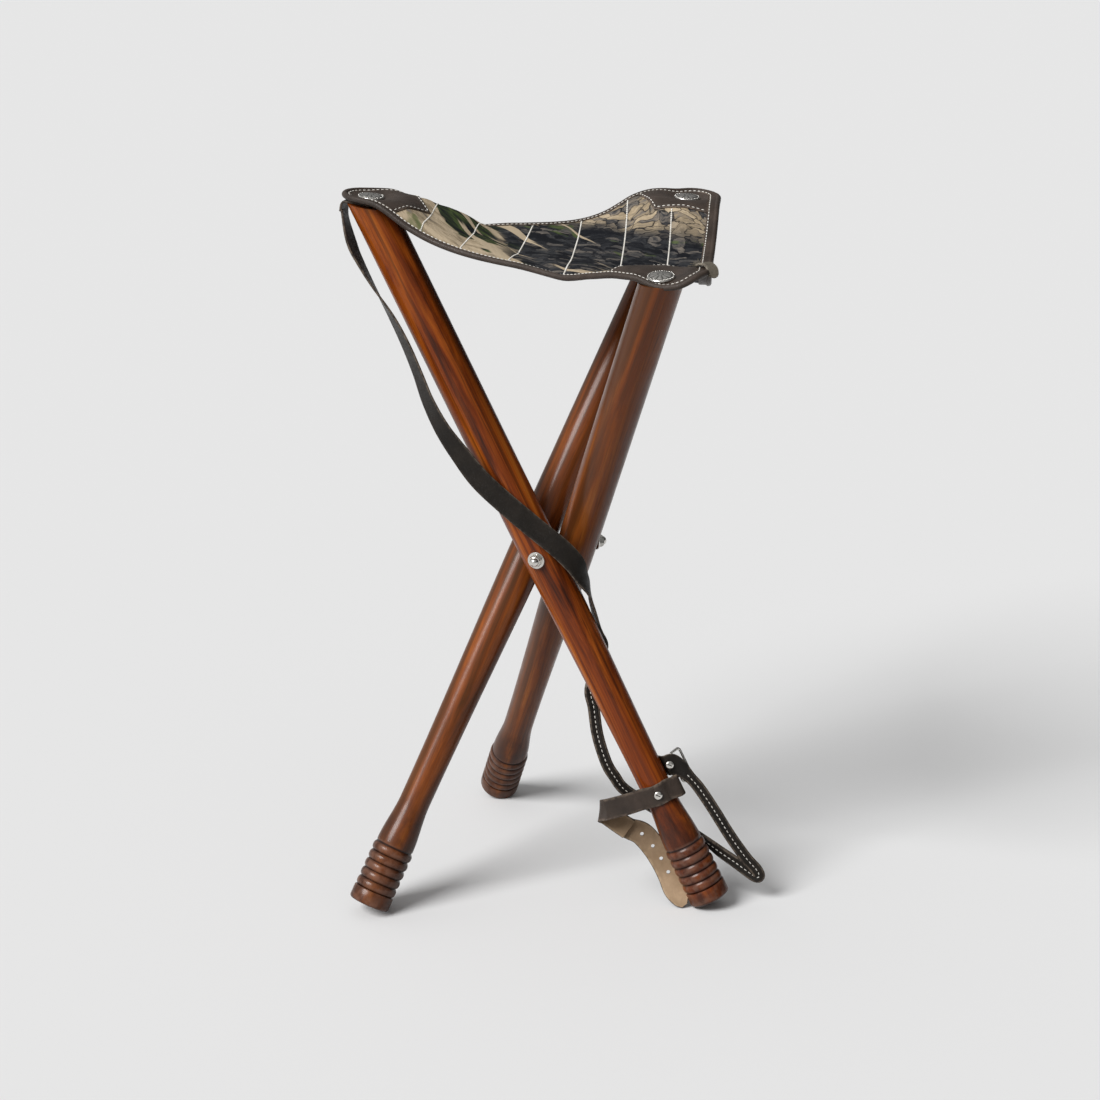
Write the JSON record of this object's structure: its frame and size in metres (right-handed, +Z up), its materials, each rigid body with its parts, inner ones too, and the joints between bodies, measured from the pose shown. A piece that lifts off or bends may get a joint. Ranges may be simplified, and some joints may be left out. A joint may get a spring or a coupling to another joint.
{
  "type": "folding tripod stool",
  "caption": "Folding tripod stool: turned wooden legs that cross on a central bolt, a leather-bound sling seat of canvas, a carry strap and a buckled closing strap.",
  "frame": {"origin": "middle of the bounding box in plan, on the floor that the feet stand on", "axes": "+Z up; leg a's stud points towards -Y, the side that the picture was taken from"},
  "size_m": [0.3926, 0.4112, 0.6634],
  "materials": {
    "varnished_wood": "glossy red-brown varnish over streaked grain",
    "printed_canvas": null,
    "dark_leather": "dark brown leather with a dull sheen",
    "nickel": "bright nickel plate"
  },
  "bodies": {
    "hub": {"three_way_bolt": "nickel", "seat_panel": "printed_canvas", "seat_binding": "dark_leather", "cap_nut_a": "nickel", "cap_nut_b": "nickel", "cap_nut_c": "nickel", "outer_washer_a": "nickel", "outer_washer_b": "nickel", "outer_washer_c": "nickel", "inner_washer_a": "nickel", "inner_washer_b": "nickel", "inner_washer_c": "nickel"},
    "leg_a": {"leg_a": "varnished_wood", "rosette_screw_a": "nickel", "corner_patch_a": "dark_leather", "under_patch_a": "dark_leather", "carry_strap": "dark_leather", "closing_band": "dark_leather", "closing_tail": "dark_leather", "strap_screw": "nickel", "buckle_tab": "dark_leather", "buckle_frame": "nickel", "tab_rivet": "nickel"},
    "leg_b": {"leg_b": "varnished_wood", "rosette_screw_b": "nickel", "corner_patch_b": "dark_leather", "under_patch_b": "dark_leather"},
    "leg_c": {"leg_c": "varnished_wood", "rosette_screw_c": "nickel", "corner_patch_c": "dark_leather", "under_patch_c": "dark_leather"},
    "prong": {"buckle_prong": "nickel"}
  },
  "joints": [
    {"name": "leg_a_fold", "type": "hinge", "parent": "hub", "child": "leg_a", "pos_m": [-0.01168, -0.0417, 0.329], "axis": [-0.284, -0.9588, 0], "range_deg": [-27, 0], "deforming": ["seat_panel", "seat_binding", "corner_patch_a", "corner_patch_b", "corner_patch_c", "under_patch_a", "under_patch_b", "under_patch_c"]},
    {"name": "leg_b_fold", "type": "hinge", "parent": "hub", "child": "leg_b", "pos_m": [0.0205, -0.00658, 0.329], "axis": [0.9304, 0.3665, 0], "range_deg": [-33.5, 0]},
    {"name": "leg_c_fold", "type": "hinge", "parent": "hub", "child": "leg_c", "pos_m": [-0.01955, 0.00528, 0.329], "axis": [-0.5807, 0.8141, 0], "range_deg": [-30.5, 0]},
    {"name": "prong_swing", "type": "hinge", "parent": "leg_a", "child": "prong", "pos_m": [0.11605, -0.06416, 0.12239], "axis": [-0.4353, 0.1289, 0.891], "range_deg": [0, 30]}
  ],
  "couplings": [
    {"joint": "leg_b_fold", "follows": "leg_a_fold", "ratio": 1.2407},
    {"joint": "leg_c_fold", "follows": "leg_a_fold", "ratio": 1.1296}
  ]
}
